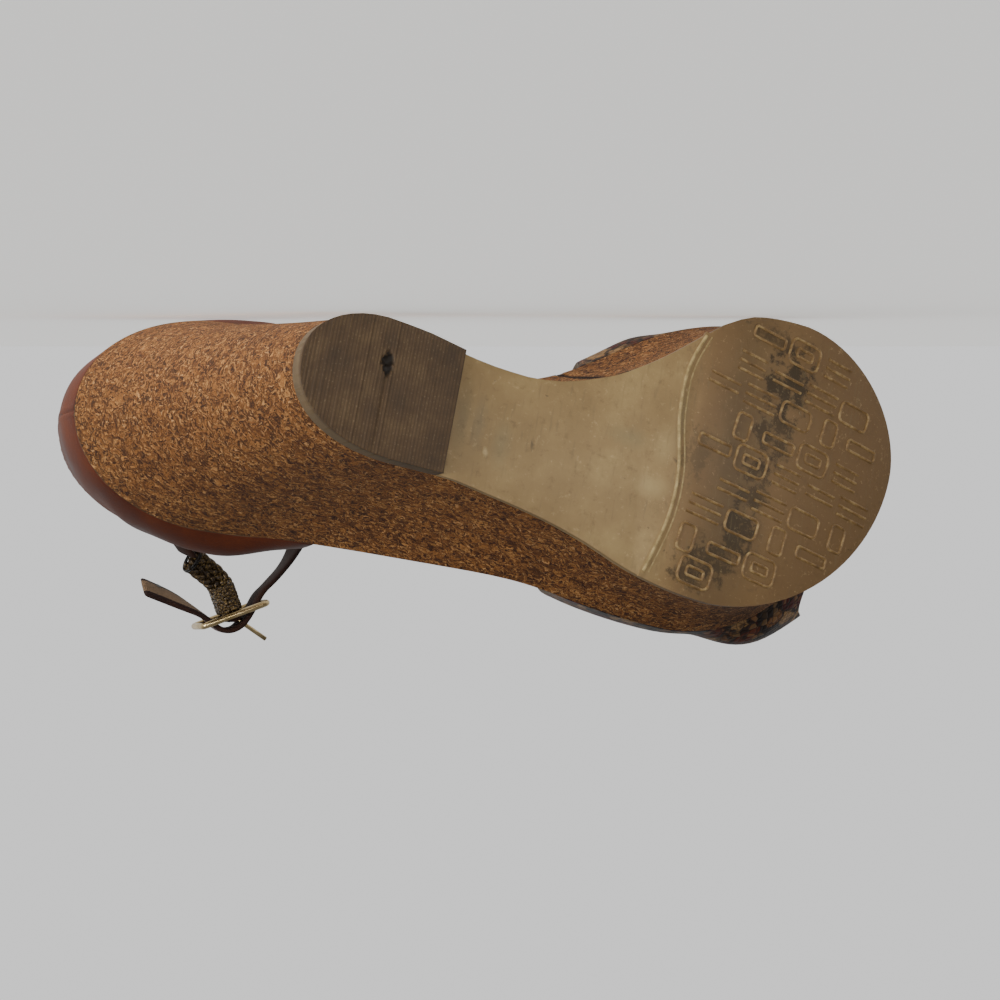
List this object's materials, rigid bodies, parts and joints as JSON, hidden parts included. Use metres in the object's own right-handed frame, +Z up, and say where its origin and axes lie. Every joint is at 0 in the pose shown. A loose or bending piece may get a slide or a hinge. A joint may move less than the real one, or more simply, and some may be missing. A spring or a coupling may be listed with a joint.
{
  "type": "peep-toe wedge sandal",
  "caption": "Left peep-toe wedge sandal with a cork platform, closed heel cup, forefoot band and buckled ankle strap, lying on its medial side.",
  "frame": {"origin": "bottom centre of the bounding box, on the floor that the shoe lies on", "axes": "+X along the shoe from heel to toe, +Z up from the floor; the sole faces +Y and the lateral side faces up"},
  "size_m": [0.233, 0.1732, 0.1089],
  "materials": {
    "outsole_rubber": "matt, worn smooth and dirty on the tread",
    "lift_rubber": "matt, fine crosswise grain",
    "cork": "matt cork with dark flecks",
    "insole_leather": "matt lining leather",
    "counter_leather": "soft sheen",
    "patchwork_leather": "soft sheen, scaled patches in mixed browns",
    "strap_leather": "soft sheen",
    "braid_cord": "metallic braided cord",
    "buckle_metal": "pale champagne plate, polished"
  },
  "bodies": {
    "root": {"outsole": "outsole_rubber", "heel_lift": "lift_rubber", "wedge": "cork", "insole": "insole_leather", "counter": "counter_leather", "vamp": "patchwork_leather", "ankle_strap": "strap_leather", "braid_tab": "strap_leather", "buckle_loop": "strap_leather", "braid_strap": "braid_cord", "buckle_frame": "buckle_metal", "buckle_prong": "buckle_metal"}
  },
  "joints": []
}
